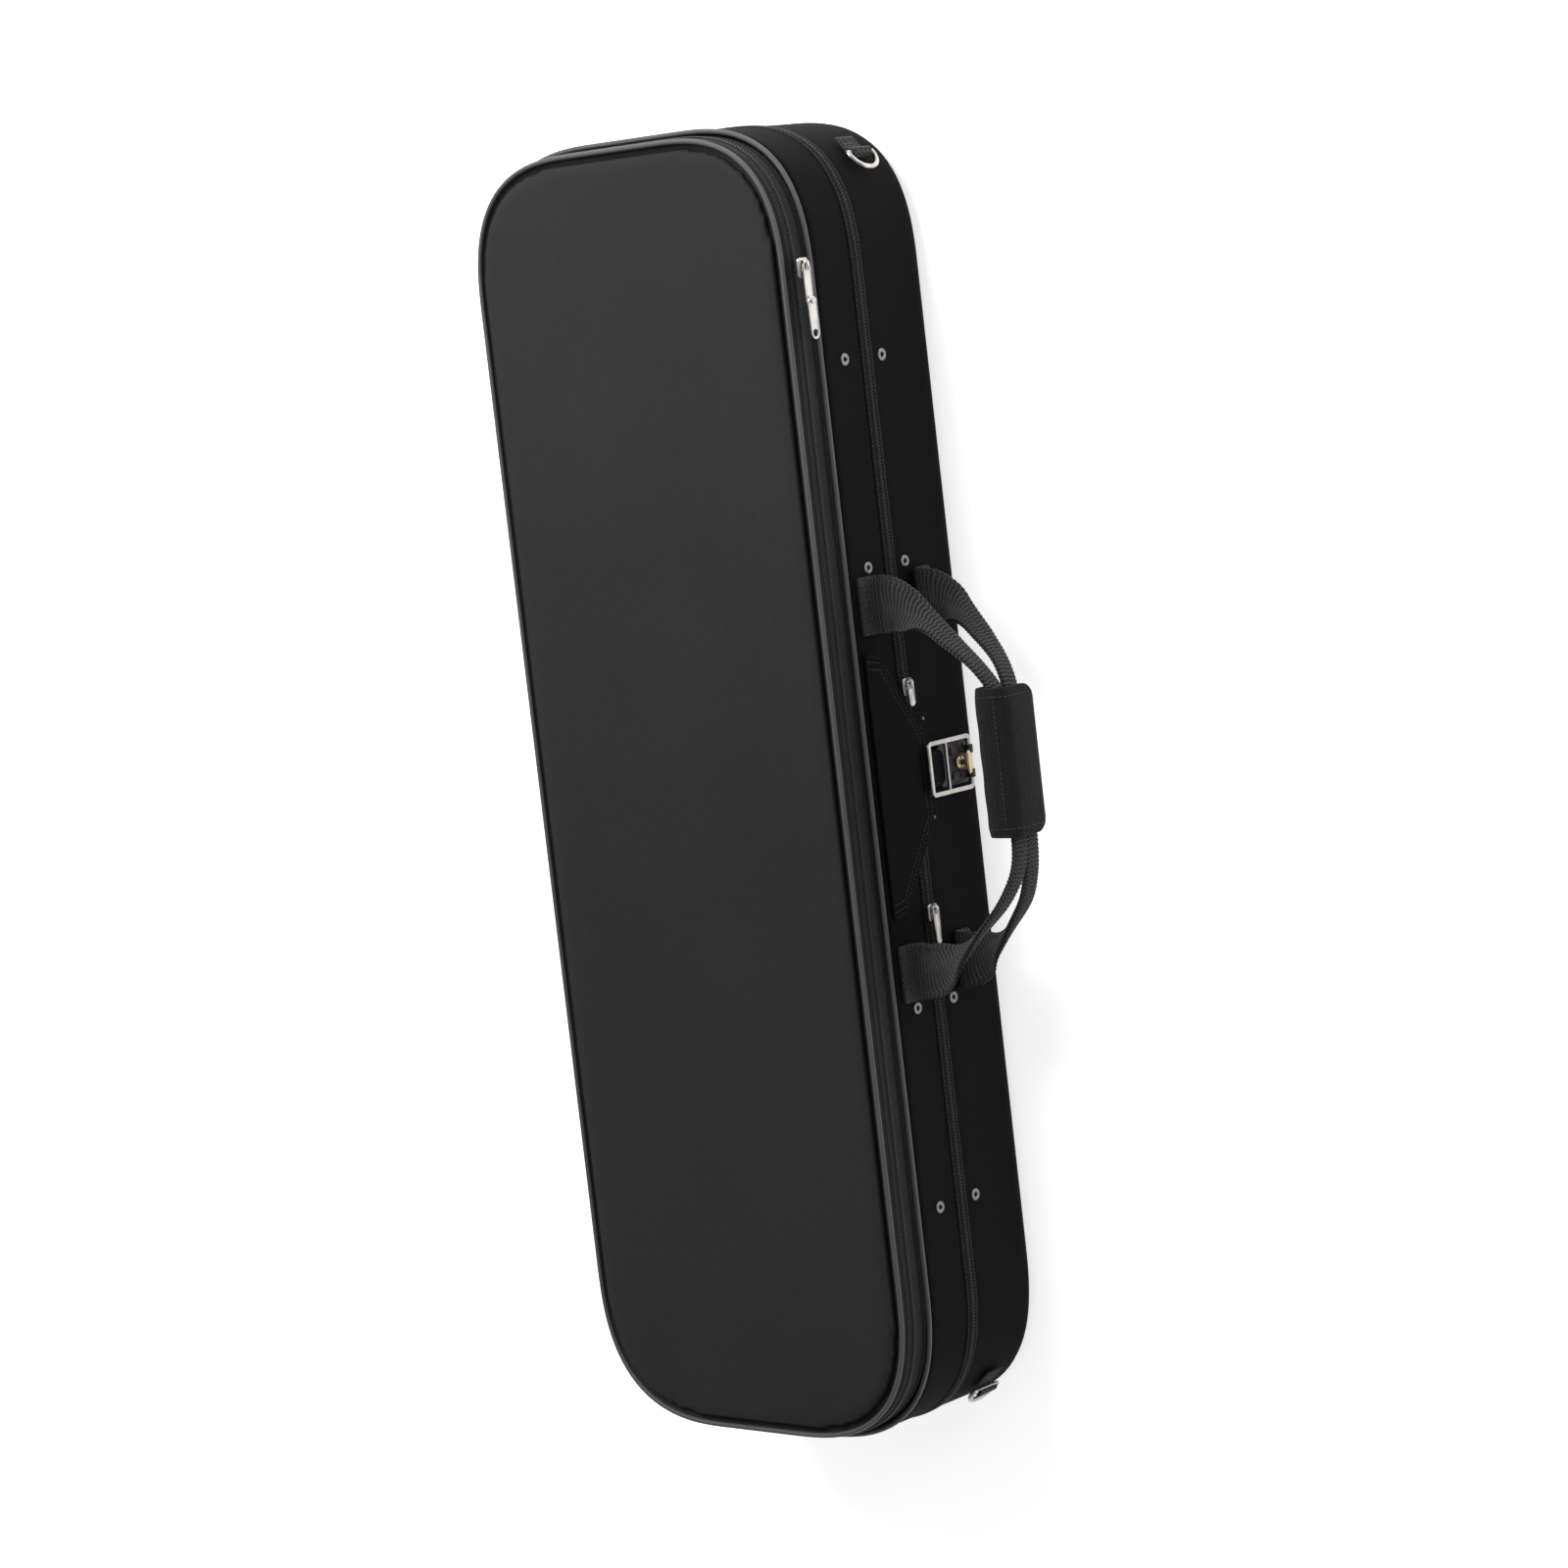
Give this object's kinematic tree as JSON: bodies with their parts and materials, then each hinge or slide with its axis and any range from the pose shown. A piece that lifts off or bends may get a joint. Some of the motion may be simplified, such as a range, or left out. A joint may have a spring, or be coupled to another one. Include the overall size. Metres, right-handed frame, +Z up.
{
  "type": "violin case",
  "caption": "Oblong cloth-covered violin case with a hinged lid, a flat zip pocket, twin webbing handles, a turn latch, strap rings and a shaped plush inside.",
  "frame": {"origin": "middle of the base's flat underside, with the case lying on its base and the lid closed", "axes": "+X along the case towards the scroll end, -Y towards the handles and the latch, +Z up through the lid and its pocket"},
  "size_m": [0.8022, 0.3534, 0.1285],
  "materials": {
    "board": "bare board, lined with cloth inside",
    "cover_fabric": "matt black woven cloth",
    "panel_fabric": "matt dark grey woven cloth",
    "webbing": "matt black ribbed webbing",
    "piping": "dark grey satin cord",
    "zip_tape": "black zip tape",
    "nickel": "bright nickel plate",
    "brass": "polished brass",
    "plush": "short charcoal plush over foam"
  },
  "bodies": {
    "base": {"base_shell": "board", "base_cover": "cover_fabric", "base_bottom_panel": "cover_fabric", "floor_pad": "plush", "violin_cradle_rear": "plush", "violin_cradle_front": "plush", "accessory_box": "plush", "neck_rest": "plush", "base_zip_tape": "zip_tape", "lock_plate": "nickel", "d_ring_head_tab": "webbing", "d_ring_foot_tab": "webbing", "base_rivet_1": "nickel", "base_rivet_2": "nickel", "base_rivet_3": "nickel", "base_rivet_4": "nickel", "hinge_base_leaf_1": "nickel", "hinge_base_leaf_2": "nickel", "hinge_pin_1": "nickel", "hinge_pin_2": "nickel", "base_handle_anchor_1": "webbing", "base_handle_anchor_2": "webbing"},
    "lid": {"lid_shell": "board", "lid_cover": "cover_fabric", "lid_lining": "plush", "lid_piping": "piping", "pocket_gusset_lower": "cover_fabric", "lid_zip_tape": "zip_tape", "closure_flap": "cover_fabric", "lid_rivet_1": "nickel", "lid_rivet_2": "nickel", "lid_rivet_3": "nickel", "lid_rivet_4": "nickel", "hinge_lid_leaf_1": "nickel", "hinge_lid_leaf_2": "nickel", "lid_handle_anchor_1": "webbing", "lid_handle_anchor_2": "webbing", "bow_tip_holder_1": "plush", "bow_tip_holder_2": "plush"},
    "pocket_flap": {"pocket_panel": "panel_fabric", "panel_piping": "piping", "pocket_gusset_upper": "cover_fabric"},
    "lid_handle": {"lid_handle_loop": "webbing", "grip_wrap": "webbing"},
    "base_handle": {"base_handle_loop": "webbing"},
    "knob": {"turn_knob": "brass"},
    "latch": {"latch_frame": "nickel"},
    "ring_head": {"d_ring_head": "nickel"},
    "ring_foot": {"d_ring_foot": "nickel"},
    "zip_slider_1": {"closure_slider_1": "nickel"},
    "zip_pull_1": {"closure_pull_1": "nickel"},
    "zip_slider_2": {"closure_slider_2": "nickel"},
    "zip_pull_2": {"closure_pull_2": "nickel"},
    "pocket_zip_slider": {"pocket_slider": "nickel"},
    "pocket_zip_pull": {"pocket_pull": "nickel"},
    "pocket_zip_link": {"pocket_pull_link": "nickel"},
    "accessory_box_lid": {"accessory_lid": "plush"},
    "neck_band": {"neck_strap": "webbing"},
    "bow_turn_1": {"bow_clip_1": "plush"},
    "bow_turn_2": {"bow_clip_2": "plush"}
  },
  "joints": [
    {"name": "lid_hinge", "type": "hinge", "parent": "base", "child": "lid", "pos_m": [0, 0.1333, 0.0641], "axis": [-1, 0, 0], "range_deg": [0, 100]},
    {"name": "pocket_hinge", "type": "hinge", "parent": "lid", "child": "pocket_flap", "pos_m": [0, 0.1262, 0.11535], "axis": [-1, 0, 0], "range_deg": [0, 100]},
    {"name": "lid_handle_swing", "type": "hinge", "parent": "lid", "child": "lid_handle", "pos_m": [0, -0.1345, 0.0821], "axis": [-1, 0, 0], "range_deg": [0, 75]},
    {"name": "base_handle_swing", "type": "hinge", "parent": "base", "child": "base_handle", "pos_m": [0, -0.1345, 0.0461], "axis": [1, 0, 0], "range_deg": [0, 75]},
    {"name": "knob_turn", "type": "hinge", "parent": "base", "child": "knob", "pos_m": [0.0058, -0.1386, 0.0222], "axis": [0, -1, 0], "range_deg": [0, 90]},
    {"name": "latch_swing", "type": "hinge", "parent": "base", "child": "latch", "pos_m": [0.0058, -0.1361, 0.0172], "axis": [1, 0, 0], "range_deg": [0, 95]},
    {"name": "ring_head_swing", "type": "hinge", "parent": "base", "child": "ring_head", "pos_m": [0.37668, -0.11675, 0.034], "axis": [0, 0, 1], "range_deg": [0, 150]},
    {"name": "ring_foot_swing", "type": "hinge", "parent": "base", "child": "ring_foot", "pos_m": [-0.38345, -0.10696, 0.034], "axis": [0, 0, 1], "range_deg": [0, 150]},
    {"name": "closure_zip_1", "type": "slide", "parent": "base", "child": "zip_slider_1", "axis": [1, 0, 0], "range_m": [0, 0.24]},
    {"name": "closure_pull_1_swing", "type": "hinge", "parent": "zip_slider_1", "child": "zip_pull_1", "pos_m": [0.0604, -0.1354, 0.0641], "axis": [0, 0, 1], "range_deg": [0, 150]},
    {"name": "closure_zip_2", "type": "slide", "parent": "base", "child": "zip_slider_2", "axis": [1, 0, 0], "range_m": [-0.21, 0]},
    {"name": "closure_pull_2_swing", "type": "hinge", "parent": "zip_slider_2", "child": "zip_pull_2", "pos_m": [-0.0766, -0.1354, 0.0641], "axis": [0, 0, 1], "range_deg": [0, 150]},
    {"name": "pocket_zip", "type": "slide", "parent": "lid", "child": "pocket_zip_slider", "axis": [1, 0, 0], "range_m": [-0.57, 0]},
    {"name": "pocket_pull_swing", "type": "hinge", "parent": "pocket_zip_slider", "child": "pocket_zip_pull", "pos_m": [0.3151, -0.13558, 0.1155], "axis": [0, 0, 1], "range_deg": [0, 140]},
    {"name": "pocket_link_swing", "type": "hinge", "parent": "pocket_zip_pull", "child": "pocket_zip_link", "pos_m": [0.29207, -0.13698, 0.1155], "axis": [0, 1, 0], "range_deg": [-60, 60]},
    {"name": "accessory_lid_hinge", "type": "hinge", "parent": "base", "child": "accessory_box_lid", "pos_m": [0.149, -0.1101, 0.0507], "axis": [1, 0, 0], "range_deg": [0, 85]},
    {"name": "neck_strap_hinge", "type": "hinge", "parent": "base", "child": "neck_band", "pos_m": [0.15, -0.0231, 0.0356], "axis": [1, 0, 0], "range_deg": [0, 80]},
    {"name": "bow_clip_1_turn", "type": "hinge", "parent": "lid", "child": "bow_turn_1", "pos_m": [0.215, 0.055, 0.0847], "axis": [0, 0, 1], "range_deg": [0, 90]},
    {"name": "bow_clip_2_turn", "type": "hinge", "parent": "lid", "child": "bow_turn_2", "pos_m": [0.215, -0.055, 0.0847], "axis": [0, 0, 1], "range_deg": [0, 90]}
  ]
}
